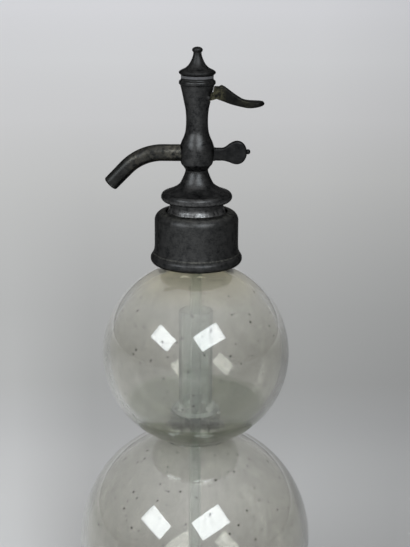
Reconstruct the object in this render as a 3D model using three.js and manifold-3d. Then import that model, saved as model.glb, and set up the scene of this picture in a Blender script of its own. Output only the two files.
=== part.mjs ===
// A two-globe soda siphon: a blown glass bottle on a turned foot, with a pewter lever head.
// Millimetres, +Z up. The origin is on the table, on the axis of the bottle.
// The spout points along -X, the lever and the finger rest along +X.

import * as THREE from "three";
import { mergeVertices } from "three/addons/utils/BufferGeometryUtils.js";
import Module from "manifold-3d";

const wasm = await Module();
wasm.setup();

// Fits that every piece shares
const seatGap = 0.3;
const overrun = 1;

// Facets of the round pieces
const globeSides = 36;
const metalSides = 28;
const smallSides = 16;
const pinSides = 12;

// Glass bottle
const lowerGlobeRadius = 77.4;
const globeFloor = 16.9;
const upperGlobeRadius = 60.5;
const glassWall = 4.5;
const waistRadius = 21.6;
const waistWall = 4.6;
const waistFillet = 1;
const neckRadius = 20.2;
const neckWall = 3.2;
const neckFillet = 8;
const neckStraight = 22.7;
const lipRound = 1.2;

// Foot and the plaster that the bottle is bedded in
const footRadius = 58;
const cupDepth = 13.8;
const footBeadHeight = 7;
const footRingWidth = 12;
const footHollowRadius = 28;
const footWeb = 6;
const footRimWidth = 3;
const bedThickness = 1.6;
const bedMargin = 1.5;

// Threaded ferrule cemented round the glass neck
const cementThickness = 1.1;
const cementInset = 3.6;
const ferruleWall = 2.1;
const ferruleLength = 22.06;
const washerHeight = 2.5;
const washerInset = 2;

// Chimney: the wide tube in the upper globe, with the rubber bung that holds it in the waist
const chimneyRadius = 11;
const chimneyWall = 2;
const chimneyLength = 69.5;
const chimneyFlareInset = 0.7;
const chimneyFlareHeight = 8;
const bungShoulderHeight = 12.5;
const bungPlugHeight = 7;
const bungTaper = 0.8;

// Base of the head: the flange that the collar nut clamps, the stem, the disc and the bell
const flangeInset = 1.5;
const flangeHeight = 3.7;
const stemRadius = 16.8;
const stemFillet = 2;
const stemShow = 6.2;
const discRadius = 22.3;
const discHalfHeight = 3;
const bellHeight = 17;
const spigotRadius = 5.1;
const spigotHeight = 4.6;
const waterwayRadius = 2.5;
const tubeRecessRadius = 10;
const tubeRecessDepth = 10;

// Collar nut
const nutTopWall = 2.5;
const nutHoleGap = 2.6;
const nutWall = 2.1;
const nutShoulder = 6;
const nutBeadWidth = 2.6;
const nutBeadHeight = 7;
const nutSpread = 0.8;
const nutCove = 3;
const nutSkirt = 2.15;

// Barrel of the head: the bulb with the valve, the column with the packing, the mouth with the lever
const bulbRadius = 10.9;
const bulbHeight = 11;
const chamberRadius = 6;
const chamberTop = 8;
const guideRadius = 2.6;
const guideLength = 7;
const packingBore = 4.6;
const packingLength = 6.7;
const glandLength = 5;
const glandSink = 4.1;
const barrelBore = 7;

// Valve
const seatRadius = 3.7;
const seatHeight = 2.8;
const seatLip = 0.6;
const discPadRadius = 4.2;
const discPadHeight = 2.2;
const rodRadius = 1.8;
const rodStudRadius = 1.2;
const rodFlangeRadius = 4.6;
const rodFlangeHeight = 2;
const rodCollarRadius = 4;
const rodCollarHeight = 1.6;
const rodTopLength = 5.5;
const springWire = 0.5;
const springRadius = 3.2;
const springTurns = 4.5;

// Lever
const pinRadius = 1.2;
const pinReach = 6.5;
const pinDrop = 11;
const leverArm = 6.2;
const leverNose = 1.2;
const leverBoss = 2.6;
const leverRoom = 0.5;
const leverLength = 34.8;
const leverRootHeight = 9.3;
const leverRootWidth = 7;
const leverRootReach = 17.4;
const leverTipWidth = 9.6;
const leverEdge = 0.8;
const forkGap = 0.3;
const leverPressDegrees = 15;

// Spout
const spoutRootRadius = 5.2;
const spoutEndRadius = 4.9;
const spoutBore = 2.8;
const spoutLipRadius = 1.2;
const spoutSpigotRadius = 4;
const spoutSpigotStart = 7;
const spoutStraight = 21;
const spoutBendRadius = 31.9;
const spoutBendDegrees = 46;
const spoutTip = 14.7;
const spoutDrop = 0.8;

// Finger rest
const restThickness = 5;
const restReach = 31;
const restHalf = 7.2;
const restNubRadius = 1.6;
const restNubRise = 1.6;
const restNubOut = 0.6;
const restDrop = 1.5;
const restPegRadius = 2.2;
const restPegDepth = 3;
const restEdge = 1.1;

// Finial cap and the rubber washer under it
const capRadius = 11.16;
const capHeight = 16.8;
const capSpigotLength = 5;
const capRecess = 3.2;
const capRecessRadius = 4.3;
const capWasherHeight = 1.7;
const capWasherRadius = 10;

// Dip tube, its rubber sleeve and the socket that holds it
const dipTubeRadius = 4.05;
const dipTubeWall = 1.5;
const dipTubeClear = 6;
const sleeveWall = 1.8;
const socketReach = 14;
const socketLip = 2;
const socketNeckRadius = 8.6;

// Heights that follow from the sizes above, from the table up
const lowerGlobeHeight = globeFloor + lowerGlobeRadius;
const waistAcross = waistRadius + waistFillet;
const waistHeight = lowerGlobeHeight + Math.sqrt((lowerGlobeRadius + waistFillet) ** 2 - waistAcross ** 2);
const upperGlobeHeight = waistHeight + Math.sqrt((upperGlobeRadius + waistFillet) ** 2 - waistAcross ** 2);
const footHeight = globeFloor + cupDepth;
const neckBlendRise = Math.sqrt((upperGlobeRadius + neckFillet) ** 2 - (neckRadius + neckFillet) ** 2);
const lipTop = upperGlobeHeight + neckBlendRise + neckStraight;
const flangeBottom = lipTop + seatGap + washerHeight + seatGap;
const flangeTop = flangeBottom + flangeHeight;
const nutTop = flangeTop + seatGap + nutTopWall;
const discMiddle = nutTop + stemShow + discHalfHeight;
const baseTop = discMiddle + bellHeight;
const spigotTop = baseTop + spigotHeight;
const barrelBottom = baseTop + seatGap;
const bulbMiddle = barrelBottom + bulbHeight;
const guideBottom = bulbMiddle + chamberTop;
const packingBottom = guideBottom + guideLength;
const packingTop = packingBottom + packingLength;
const glandTop = packingTop + seatGap + glandLength;
const barrelFloor = glandTop + glandSink;
const pinHeight = barrelFloor + leverRoom + leverBoss;
const barrelTop = pinHeight + pinDrop;
const barrelHeight = barrelTop - barrelBottom;
const capBottom = barrelTop + capWasherHeight + seatGap * 2;
const capRecessTop = capBottom - capSpigotLength + capRecess;
const capTop = capBottom + capHeight;

// Radii that follow from the sizes above
const waistBore = waistRadius - waistWall;
const neckBore = neckRadius - neckWall;
const ferruleBore = neckRadius + cementThickness + seatGap * 2;
const ferruleRadius = ferruleBore + ferruleWall;
const flangeRadius = ferruleRadius - flangeInset;
const nutBore = ferruleRadius + seatGap;
const nutRadius = nutBore + nutWall;
const nutHoleRadius = stemRadius + nutHoleGap;

// Shapes of the turned pieces: radius and height as shares of the piece's own radius and height
const bellShares = [
  [0.86, 0.185], [0.66, 0.306], [0.491, 0.459], [0.395, 0.682], [0.327, 0.906], [0.317, 1],
];
const barrelShares = [
  [0.65, 0], [0.77, 0.034], [0.917, 0.078], [1, 0.196], [0.93, 0.281], [0.743, 0.367],
  [0.651, 0.436], [0.619, 0.544], [0.655, 0.657], [0.745, 0.744], [0.835, 0.831], [0.93, 0.908],
  [0.955, 0.928], [1.025, 0.943], [1.035, 0.959], [1.01, 0.975], [0.93, 0.987], [0.92, 1],
];
const capShares = [
  [0.92, 0], [1, 0.05], [1, 0.11], [0.86, 0.175], [0.64, 0.25], [0.45, 0.38],
  [0.335, 0.52], [0.255, 0.66], [0.225, 0.79], [0.285, 0.85], [0.28, 0.92], [0.17, 0.985],
];
const restShares = [
  [0.352, -0.54], [0.452, -0.535], [0.545, -0.55], [0.652, -0.675], [0.72, -0.79], [0.81, -0.85],
  [0.905, -0.71], [0.974, -0.347], [1, 0.153], [0.974, 0.653], [0.905, 1.02], [0.81, 1.15],
  [0.72, 1.07], [0.652, 0.9], [0.545, 0.58], [0.452, 0.535], [0.352, 0.54],
];
const footShares = [[0.79, 0.27], [0.7, 0.35], [0.655, 0.455], [0.69, 0.6], [0.76, 0.8]];

const radians = THREE.MathUtils.degToRad;

// Points of an outline from its shares of a radius and a height, starting at a given height.
function scaled(shares, radius, bottom, height) {
  return shares.map(([across, up]) => [across * radius, bottom + up * height]);
}

// Points along a circle, from one angle to another, both in radians.
function arc(across, up, radius, from, to, steps) {
  const points = [];
  for (let i = 0; i <= steps; i++) {
    const angle = from + ((to - from) * i) / steps;
    points.push([across + radius * Math.cos(angle), up + radius * Math.sin(angle)]);
  }
  return points;
}

// A globe's outline between two angles, one below its equator and one above, with a point on the equator.
function globe(up, radius, from, to, steps) {
  return [...arc(0, up, radius, from, 0, steps), ...arc(0, up, radius, 0, to, steps).slice(1)];
}

// A smooth curve through chosen points.
function smooth(points, steps) {
  const curve = new THREE.SplineCurve(points.map(([across, up]) => new THREE.Vector2(across, up)));
  return curve.getPoints(steps).map((point) => [point.x, point.y]);
}

// The radius of an outline at a height, between the two points that the height lies between.
function radiusAt(outline, height) {
  for (let i = 1; i < outline.length; i++) {
    const [r0, z0] = outline[i - 1];
    const [r1, z1] = outline[i];
    if (height >= z0 && height <= z1 && z1 > z0) {
      return r0 + ((r1 - r0) * (height - z0)) / (z1 - z0);
    }
  }
  return outline[outline.length - 1][0];
}

// A turned piece: the outline runs anticlockwise, out along the bottom and back along the top.
function turned(outline, sides) {
  const points = outline.map(([across, up]) => new THREE.Vector2(Math.max(across, 0), up));
  return new THREE.LatheGeometry(points, sides).rotateX(Math.PI / 2);
}

// A plain ring between two radii and two heights.
function ring(inner, outer, bottom, top, sides) {
  return turned([[inner, bottom], [outer, bottom], [outer, top], [inner, top], [inner, bottom]], sides);
}

// A round bar along X, Y or Z, given by the two ends of its length.
function bar(axis, radius, from, to, sides) {
  const geometry = new THREE.CylinderGeometry(radius, radius, to - from, sides);
  geometry.translate(0, (from + to) / 2, 0);
  if (axis === "x") geometry.rotateZ(-Math.PI / 2);
  if (axis === "z") geometry.rotateX(Math.PI / 2);
  return geometry;
}

// A box between two corners.
function block(low, high) {
  const size = high.map((value, i) => value - low[i]);
  const geometry = new THREE.BoxGeometry(...size);
  return geometry.translate(...low.map((value, i) => value + size[i] / 2));
}

// A flat outline in the plane of the spout and the lever, given a width across that plane.
function plate(shape, width, edge, curveSteps) {
  const geometry = new THREE.ExtrudeGeometry(shape, {
    depth: width - edge * 2,
    bevelEnabled: edge > 0,
    bevelThickness: edge,
    bevelSize: edge,
    bevelOffset: -edge,
    bevelSegments: 2,
    curveSegments: curveSteps,
  });
  return geometry.translate(0, 0, edge - width / 2).rotateX(Math.PI / 2);
}

// A closed geometry as a solid that can be cut and joined.
function solid(geometry) {
  const bare = geometry.index ? geometry.toNonIndexed() : geometry.clone();
  bare.deleteAttribute("normal");
  bare.deleteAttribute("uv");
  const merged = mergeVertices(bare, 1e-4);
  const vertProperties = new Float32Array(merged.attributes.position.array);
  const triVerts = new Uint32Array(merged.index.array);
  return new wasm.Manifold(new wasm.Mesh({ numProp: 3, vertProperties, triVerts }));
}

// A cut or joined solid back as a geometry.
function geometryOf(made) {
  const mesh = made.getMesh();
  const positions = new Float32Array(mesh.numVert * 3);
  for (let i = 0; i < mesh.numVert; i++) {
    const start = i * mesh.numProp;
    positions.set(mesh.vertProperties.subarray(start, start + 3), i * 3);
  }
  const geometry = new THREE.BufferGeometry();
  geometry.setAttribute("position", new THREE.BufferAttribute(positions, 3));
  geometry.setIndex(new THREE.BufferAttribute(new Uint32Array(mesh.triVerts), 1));
  geometry.computeVertexNormals();
  return geometry;
}

const materials = {
  glass: new THREE.MeshStandardMaterial({
    color: "#c9cfca", roughness: 0.05, metalness: 0, transparent: true, opacity: 0.35,
  }),
  tubeGlass: new THREE.MeshStandardMaterial({
    color: "#b7cbc6", roughness: 0.08, metalness: 0, transparent: true, opacity: 0.5,
  }),
  pewter: new THREE.MeshStandardMaterial({ color: "#3b3c3e", roughness: 0.42, metalness: 0.9 }),
  brass: new THREE.MeshStandardMaterial({ color: "#8f7a45", roughness: 0.45, metalness: 0.9 }),
  steel: new THREE.MeshStandardMaterial({ color: "#8b8d8f", roughness: 0.35, metalness: 1 }),
  rubber: new THREE.MeshStandardMaterial({ color: "#4b4742", roughness: 0.85, metalness: 0 }),
  leather: new THREE.MeshStandardMaterial({ color: "#4a3524", roughness: 0.8, metalness: 0 }),
  plaster: new THREE.MeshStandardMaterial({ color: "#cdc6b6", roughness: 0.95, metalness: 0 }),
};

const siphon = new THREE.Group();
siphon.name = "soda_siphon";
const bottle = new THREE.Group();
const head = new THREE.Group();
siphon.add(bottle, head);

function put(group, name, geometry, material) {
  const mesh = new THREE.Mesh(geometry, material);
  mesh.name = name;
  group.add(mesh);
  return mesh;
}

// Where a round blend between a globe and a neck has its centre, in radius and in height above the globe.
function blendCentre(globe, neck, fillet) {
  const across = neck + fillet;
  return [across, Math.sqrt((globe + fillet) ** 2 - across ** 2)];
}

// The bottle is one piece of glass: two globes, a waist whose blend touches both, the neck and its lip.
function glassOutside() {
  const fromLower = Math.atan2(waistHeight - lowerGlobeHeight, waistAcross);
  const fromUpper = Math.atan2(waistHeight - upperGlobeHeight, waistAcross);
  const [neckAcross, neckUp] = blendCentre(upperGlobeRadius, neckRadius, neckFillet);
  const toNeck = Math.atan2(neckUp, neckAcross);
  const neckCentre = upperGlobeHeight + neckUp;
  return [
    ...globe(lowerGlobeHeight, lowerGlobeRadius, -Math.PI / 2, fromLower, 6),
    ...arc(waistAcross, waistHeight, waistFillet, fromLower - Math.PI, fromUpper - Math.PI, 3)
      .slice(1),
    ...globe(upperGlobeHeight, upperGlobeRadius, fromUpper, toNeck, 5).slice(1),
    ...arc(neckAcross, neckCentre, neckFillet, Math.PI + toNeck, Math.PI, 5).slice(1),
    ...arc(neckRadius - lipRound, lipTop - lipRound, lipRound, 0, Math.PI / 2, 2),
  ];
}

function glassInside() {
  const lower = lowerGlobeRadius - glassWall;
  const upper = upperGlobeRadius - glassWall;
  const fillet = neckFillet + neckRadius - neckBore;
  const [neckAcross, neckUp] = blendCentre(upper, neckBore, fillet);
  const toNeck = Math.atan2(neckUp, neckAcross);
  return [
    [neckBore, lipTop],
    ...arc(neckAcross, upperGlobeHeight + neckUp, fillet, Math.PI, Math.PI + toNeck, 4),
    ...globe(upperGlobeHeight, upper, toNeck, -Math.acos(waistBore / upper), 5).slice(1),
    ...globe(lowerGlobeHeight, lower, Math.acos(waistBore / lower), -Math.PI / 2, 6),
  ];
}

const bottleOutline = [...glassOutside(), ...glassInside()];
put(bottle, "glass_bottle", turned(bottleOutline, globeSides), materials.glass);

// The foot is a turned pedestal with a cup that follows the lower globe.
const bedOutside = lowerGlobeRadius + seatGap + bedThickness;
const cupRadius = bedOutside + seatGap;
const cupEdge = -Math.asin((lowerGlobeHeight - footHeight) / cupRadius);
const cupBottom = lowerGlobeHeight - cupRadius;
const footBead = footBeadHeight / 2;
const cupEdgeRadius = cupRadius * Math.cos(cupEdge);

put(bottle, "foot", turned([
  [0, cupBottom - footWeb],
  [footHollowRadius, cupBottom - footWeb],
  [footRadius - footRingWidth, footBead],
  [footRadius - footRingWidth, 0],
  ...arc(footRadius - footBead, footBead, footBead, -Math.PI / 2, Math.PI / 2, 6),
  ...smooth([
    ...scaled(footShares, footRadius, 0, footHeight),
    [cupEdgeRadius + footRimWidth, footHeight],
  ], 10),
  ...arc(0, lowerGlobeHeight, cupRadius, cupEdge, -Math.PI / 2, 7),
], globeSides), materials.pewter);

const bedEdge = -Math.asin((lowerGlobeHeight - footHeight + bedMargin) / bedOutside);
put(bottle, "plaster_bed", turned([
  ...arc(0, lowerGlobeHeight, bedOutside, -Math.PI / 2, bedEdge, 6),
  ...arc(0, lowerGlobeHeight, lowerGlobeRadius + seatGap, bedEdge, -Math.PI / 2, 6),
], globeSides), materials.plaster);

// The threaded ferrule for the collar nut is cemented round the neck. Its thread is left plain.
const ferruleBottom = lipTop - ferruleLength;
put(bottle, "neck_ferrule", ring(
  ferruleBore, ferruleRadius, ferruleBottom, lipTop, metalSides,
), materials.pewter);

put(bottle, "neck_cement", ring(
  neckRadius + seatGap, ferruleBore - seatGap, ferruleBottom + cementInset, lipTop - lipRound, metalSides,
), materials.plaster);

put(bottle, "collar_washer", ring(
  neckBore + seatGap, ferruleRadius - washerInset, lipTop + seatGap, flangeBottom - seatGap, metalSides,
), materials.rubber);

// A ground glass ring plugs the waist and holds the chimney upright. Water goes through its middle.
const upperInside = upperGlobeRadius - glassWall;
const waistTop = upperGlobeHeight - Math.sqrt(upperInside ** 2 - waistBore ** 2);
const bungRadius = waistBore - seatGap;
const flareRadius = bungRadius - chimneyFlareInset;
const bungTop = waistTop + bungShoulderHeight;
const bungBottom = waistTop - bungPlugHeight;
const chimneyBore = chimneyRadius - chimneyWall;
put(bottle, "chimney_bung", turned([
  [chimneyBore, bungBottom],
  [bungRadius - bungTaper, bungBottom],
  [bungRadius, waistTop],
  [bungRadius, bungTop],
  [chimneyBore, bungTop],
  [chimneyBore, bungBottom],
], smallSides), materials.tubeGlass);

const chimneyBottom = bungTop + seatGap;
const chimneyTop = chimneyBottom + chimneyLength;
put(bottle, "chimney_tube", turned([
  [chimneyBore, chimneyBottom],
  [flareRadius, chimneyBottom],
  [flareRadius, chimneyBottom + chimneyWall],
  ...smooth([
    [(flareRadius + chimneyRadius) / 2, chimneyBottom + chimneyFlareHeight / 2],
    [chimneyRadius, chimneyBottom + chimneyFlareHeight],
  ], 2),
  ...arc(chimneyRadius - chimneyWall / 2, chimneyTop - chimneyWall / 2, chimneyWall / 2, 0, Math.PI, 4),
  [chimneyBore, chimneyBottom],
], smallSides), materials.tubeGlass);

// The base of the head: flange, stem, disc, bell and the spigot that the barrel screws onto.
const recessTop = flangeBottom + tubeRecessDepth;
const seatBottom = spigotTop + seatLip - seatHeight;
put(head, "head_base", turned([
  [tubeRecessRadius, flangeBottom],
  [flangeRadius, flangeBottom],
  [flangeRadius, flangeTop],
  ...arc(stemRadius + stemFillet, flangeTop + stemFillet, stemFillet, -Math.PI / 2, -Math.PI, 3),
  [stemRadius, discMiddle - discHalfHeight],
  ...arc(discRadius - discHalfHeight, discMiddle, discHalfHeight, -Math.PI / 2, Math.PI / 2, 6),
  ...smooth(scaled(bellShares, discRadius, discMiddle, bellHeight), 9),
  [spigotRadius, baseTop],
  [spigotRadius, spigotTop],
  [seatRadius + seatGap, spigotTop],
  [seatRadius + seatGap, seatBottom - seatGap],
  [waterwayRadius, seatBottom - seatGap],
  [waterwayRadius, recessTop],
  [tubeRecessRadius, recessTop],
  [tubeRecessRadius, flangeBottom],
], metalSides), materials.pewter);

put(head, "valve_seat", ring(
  waterwayRadius, seatRadius, seatBottom, spigotTop + seatLip, smallSides,
), materials.brass);

// The barrel is bored from below for the valve and from above for the packing and the lever.
const barrelOutline = smooth(scaled(barrelShares, bulbRadius, barrelBottom, barrelHeight), 22);
const spigotBore = spigotRadius + seatGap;

function barrelBody() {
  const body = solid(turned([
    [spigotBore, barrelBottom],
    ...barrelOutline,
    [barrelBore, barrelTop],
    [barrelBore, barrelFloor],
    [packingBore, barrelFloor],
    [packingBore, packingBottom],
    [guideRadius, packingBottom],
    [guideRadius, guideBottom],
    [chamberRadius, guideBottom - (chamberRadius - guideRadius)],
    [chamberRadius, spigotTop],
    [spigotBore, spigotTop],
    [spigotBore, barrelBottom],
  ], metalSides));
  const slotHalf = leverRootWidth / 2 + seatGap;
  const slot = solid(block(
    [pinReach - leverBoss, -slotHalf, barrelFloor],
    [bulbRadius + overrun, slotHalf, pinHeight + leverBoss + seatGap * 2],
  ));
  const pinHole = solid(bar("y", pinRadius + seatGap, -bulbRadius - overrun, bulbRadius + overrun, pinSides)
    .translate(pinReach, 0, pinHeight));
  const spoutHole = solid(bar("x", spoutSpigotRadius + seatGap, -bulbRadius - overrun, 0, smallSides)
    .translate(0, 0, bulbMiddle - spoutDrop));
  const pegEnd = bulbRadius - restPegDepth - seatGap;
  const pegHole = solid(bar("x", restPegRadius + seatGap, pegEnd, bulbRadius + overrun, pinSides)
    .translate(0, 0, bulbMiddle - restDrop));
  return body.subtract(slot).subtract(pinHole).subtract(spoutHole).subtract(pegHole);
}

put(head, "head_barrel", geometryOf(barrelBody()), materials.pewter);

// The barrel's outside grown by the seat gap, which the spout and the finger rest are cut to fit.
function barrelSpace() {
  const grown = barrelOutline.map(([across, up]) => [across + seatGap, up]);
  return solid(turned([[0, barrelBottom], ...grown, [0, barrelTop]], metalSides));
}

// The spout is a tapered pipe, bent down in one round bend and screwed into the bulb.
const spoutBend = radians(spoutBendDegrees);
const spoutLength = spoutStraight + spoutBendRadius * spoutBend + spoutTip;

function spoutPoint(along) {
  const turn = Math.min(Math.max((along - spoutStraight) / spoutBendRadius, 0), spoutBend);
  const straight = Math.min(along, spoutStraight);
  const past = Math.max(along - spoutStraight - spoutBendRadius * spoutBend, 0);
  return {
    out: straight + spoutBendRadius * Math.sin(turn) + past * Math.cos(turn),
    down: spoutBendRadius * (1 - Math.cos(turn)) + past * Math.sin(turn),
    turn,
  };
}

// Bends a straight piece that stands on the Z axis so that it follows the spout.
function bent(geometry) {
  const places = geometry.attributes.position;
  for (let i = 0; i < places.count; i++) {
    const across = places.getX(i);
    const { out, down, turn } = spoutPoint(places.getZ(i));
    const x = -out - across * Math.sin(turn);
    const z = bulbMiddle - spoutDrop - down + across * Math.cos(turn);
    places.setXYZ(i, x, places.getY(i), z);
  }
  return geometry;
}

function spoutStation(share) {
  return spoutStraight + (spoutLength - spoutStraight) * share;
}

function spoutBody() {
  const stations = [0, 0.12, 0.24, 0.36, 0.48, 0.6, 0.72, 0.86];
  const start = bulbRadius - overrun - seatGap;
  const outside = stations.map((share) => {
    return [spoutRootRadius + (spoutEndRadius - spoutRootRadius) * share, spoutStation(share)];
  });
  const inside = stations.map((share) => [spoutBore, spoutStation(share)]).reverse();
  const lipAcross = spoutEndRadius - spoutLipRadius;
  const lip = arc(lipAcross, spoutLength - spoutLipRadius, spoutLipRadius, 0, Math.PI / 2, 3);
  const pipe = solid(bent(turned([
    [spoutBore, start],
    [spoutRootRadius, start],
    ...outside,
    ...lip,
    [spoutBore, spoutLength],
    ...inside,
    [spoutBore, start],
  ], smallSides))).subtract(barrelSpace());
  const spigot = solid(ring(spoutBore, spoutSpigotRadius, spoutSpigotStart, bulbRadius + overrun, smallSides)
    .rotateY(-Math.PI / 2)
    .translate(0, 0, bulbMiddle - spoutDrop));
  return pipe.add(spigot);
}

put(head, "spout", geometryOf(spoutBody()), materials.pewter);

// The finger rest is a flat cast blade opposite the spout, with a nub at its end and a peg that is soldered
// into the bulb.
function restBody() {
  const middle = bulbMiddle - restDrop;
  const blade = smooth(restShares.map(([along, up]) => [along * restReach, middle + up * restHalf]), 34);
  const root = [[chamberRadius, blade.at(-1)[1]], [chamberRadius, blade[0][1]]];
  const shape = new THREE.Shape([...root, ...blade].map(([across, up]) => new THREE.Vector2(across, up)));
  const nub = solid(new THREE.SphereGeometry(restNubRadius, pinSides, pinSides / 2)
    .translate(restReach + restNubOut, 0, middle + restNubRise));
  const peg = solid(bar("x", restPegRadius, bulbRadius - restPegDepth, bulbRadius + overrun, pinSides)
    .translate(0, 0, middle));
  return solid(plate(shape, restThickness, restEdge, 1)).subtract(barrelSpace()).add(nub).add(peg);
}

put(head, "finger_rest", geometryOf(restBody()), materials.pewter);

// The lever's fork lies under the rod's collar, and its blade sweeps down to a thin thumb plate.
const leverShares = {
  root: [0.13, 0.645], step: [0.2, 0.655], bump: [0.25, 0.715], fall: [0.31, 0.6], shoulder: [0.397, 0.36],
  dip: [0.52, 0.03], neck: [0.643, -0.215], thumb: [0.97, -0.3], tip: [1, -0.43], under: [0.96, -0.57],
  low: [0.71, -0.7], belly: [0.52, -0.57], bend: [0.4, -0.455], heel: [0.27, -0.28],
  hollow: [0.15, -0.12],
};
function leverPoint(name) {
  const [along, up] = leverShares[name];
  return [pinReach + along * leverLength, pinHeight + up * leverRootHeight];
}

function leverBody() {
  const noseAcross = pinReach - leverArm;
  const nose = arc(noseAcross, pinHeight, leverNose, radians(270), radians(90), 4);
  const boss = arc(pinReach, pinHeight, leverBoss, radians(150), radians(60), 4);
  const underBoss = arc(pinReach, pinHeight, leverBoss, radians(-60), radians(-125), 4);
  const slotTop = pinHeight + leverBoss + seatGap * 2;
  const rise = [slotTop - seatGap * 3, slotTop + seatGap, leverPoint("root")[1]].map((up) => {
    return [radiusAt(barrelOutline, Math.max(up, slotTop)) + seatGap, up];
  });
  const top = smooth(["step", "bump", "fall", "shoulder", "dip", "neck", "thumb"].map(leverPoint), 18);
  const bottom = smooth(["under", "low", "belly", "bend", "heel", "hollow"].map(leverPoint), 12);
  const outline = [...nose, ...boss, ...rise, ...top, leverPoint("tip"), ...bottom, ...underBoss];
  const side = new THREE.Shape(outline.reverse().map(([across, up]) => new THREE.Vector2(across, up)));
  const profile = solid(plate(side, leverTipWidth, leverEdge, 1));
  const reach = pinReach + leverLength;
  const plan = new THREE.Shape();
  plan.moveTo(-pinReach, -leverRootWidth / 2);
  plan.lineTo(leverRootReach, -leverRootWidth / 2);
  plan.lineTo(reach - leverTipWidth / 2, -leverTipWidth / 2);
  plan.absarc(reach - leverTipWidth / 2, 0, leverTipWidth / 2, -Math.PI / 2, Math.PI / 2, false);
  plan.lineTo(leverRootReach, leverRootWidth / 2);
  plan.lineTo(-pinReach, leverRootWidth / 2);
  const planDepth = leverRootHeight * 3;
  const planSettings = { depth: planDepth, bevelEnabled: false, curveSegments: 7 };
  const planSolid = solid(new THREE.ExtrudeGeometry(plan, planSettings)
    .translate(0, 0, pinHeight - planDepth / 2));
  const forkHalf = rodRadius + forkGap;
  const fork = solid(block(
    [-pinReach, -forkHalf, pinHeight - leverRootHeight],
    [rodCollarRadius, forkHalf, pinHeight + leverRootHeight],
  ));
  const hole = solid(bar("y", pinRadius + seatGap, -leverTipWidth, leverTipWidth, pinSides)
    .translate(pinReach, 0, pinHeight));
  return profile.intersect(planSolid).subtract(fork).subtract(hole);
}

const lever = new THREE.Group();
head.add(lever);
put(lever, "lever", geometryOf(leverBody()), materials.pewter);

const pinSurface = radiusAt(barrelOutline, pinHeight);
const pinHalf = Math.sqrt(pinSurface ** 2 - pinReach ** 2) - seatGap;
put(head, "lever_pin", bar("y", pinRadius, -pinHalf, pinHalf, pinSides).translate(pinReach, 0, pinHeight),
  materials.steel);

// The rod carries the valve pad at its foot, the collar that the lever lifts, and a guide end.
const piston = new THREE.Group();
head.add(piston);
const padBottom = spigotTop + seatLip + seatGap;
const padTop = padBottom + discPadHeight;
const rodFlangeBottom = padTop + seatGap;
const rodCollarBottom = pinHeight + leverNose + seatGap;
const rodCollarTop = rodCollarBottom + rodCollarHeight;
put(piston, "piston_rod", turned([
  [0, padBottom + seatGap * 2],
  [rodStudRadius, padBottom + seatGap * 2],
  [rodStudRadius, rodFlangeBottom],
  [discPadRadius, rodFlangeBottom],
  [discPadRadius, rodFlangeBottom + rodFlangeHeight],
  [rodRadius, rodFlangeBottom + rodFlangeHeight],
  [rodRadius, rodCollarBottom],
  [rodCollarRadius, rodCollarBottom],
  [rodCollarRadius, rodCollarTop],
  [rodRadius, rodCollarTop],
  [rodRadius, rodCollarTop + rodTopLength],
  [0, rodCollarTop + rodTopLength],
], smallSides), materials.brass);
put(piston, "valve_pad", ring(rodStudRadius + seatGap, discPadRadius, padBottom, padTop, smallSides),
  materials.rubber);

// The spring stands on the rod's collar and closes the valve when the lever is let go.
const springBottom = rodCollarTop + seatGap + springWire;
const springTop = capRecessTop - seatGap - springWire;
class Helix extends THREE.Curve {
  getPoint(share) {
    const angle = share * springTurns * Math.PI * 2;
    const up = springBottom + (springTop - springBottom) * share;
    return new THREE.Vector3(springRadius * Math.cos(angle), springRadius * Math.sin(angle), up);
  }
}
const wireSection = new THREE.Shape().absarc(0, 0, springWire, 0, Math.PI * 2, false);
put(piston, "valve_spring", new THREE.ExtrudeGeometry(wireSection, {
  steps: Math.round(springTurns * 10), curveSegments: 3, extrudePath: new Helix(), bevelEnabled: false,
}), materials.steel);

// Packing and its gland nut keep the water out of the lever's end of the barrel.
put(head, "gland_packing", ring(
  rodRadius + seatGap, packingBore - seatGap, packingBottom + seatGap, packingTop, smallSides,
), materials.leather);
put(head, "gland_nut", ring(
  rodRadius + seatGap, packingBore - seatGap, packingTop + seatGap, glandTop, smallSides,
), materials.brass);

// The finial cap screws into the mouth of the barrel over a rubber washer and holds the spring down.
const capSpigotRadius = barrelBore - seatGap;
put(head, "finial_cap", turned([
  [capRecessRadius, capBottom - capSpigotLength],
  [capSpigotRadius, capBottom - capSpigotLength],
  [capSpigotRadius, capBottom],
  ...smooth(scaled(capShares, capRadius, capBottom, capHeight), 16),
  [0, capTop],
  [0, capRecessTop],
  [capRecessRadius, capRecessTop],
  [capRecessRadius, capBottom - capSpigotLength],
], metalSides), materials.pewter);
put(head, "cap_washer", ring(
  barrelBore + seatGap, capWasherRadius, barrelTop + seatGap, capBottom - seatGap, metalSides,
), materials.rubber);

// The socket screws into the base of the head and grips the dip tube in a rubber sleeve.
const tubeTop = recessTop - seatGap * 2;
const sleeveRadius = dipTubeRadius + seatGap + sleeveWall;
const socketBottom = flangeBottom - socketReach;
put(head, "tube_socket", turned([
  [dipTubeRadius + seatGap, socketBottom],
  [socketNeckRadius, socketBottom],
  [socketNeckRadius, flangeBottom - seatGap],
  [tubeRecessRadius - seatGap, flangeBottom + seatGap],
  [tubeRecessRadius - seatGap, recessTop - seatGap],
  [sleeveRadius + seatGap, recessTop - seatGap],
  [sleeveRadius + seatGap, socketBottom + socketLip],
  [dipTubeRadius + seatGap, socketBottom + socketLip],
  [dipTubeRadius + seatGap, socketBottom],
], smallSides), materials.brass);
put(head, "tube_sleeve", ring(
  dipTubeRadius + seatGap, sleeveRadius, socketBottom + socketLip + seatGap, tubeTop - seatGap, smallSides,
), materials.rubber);

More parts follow.
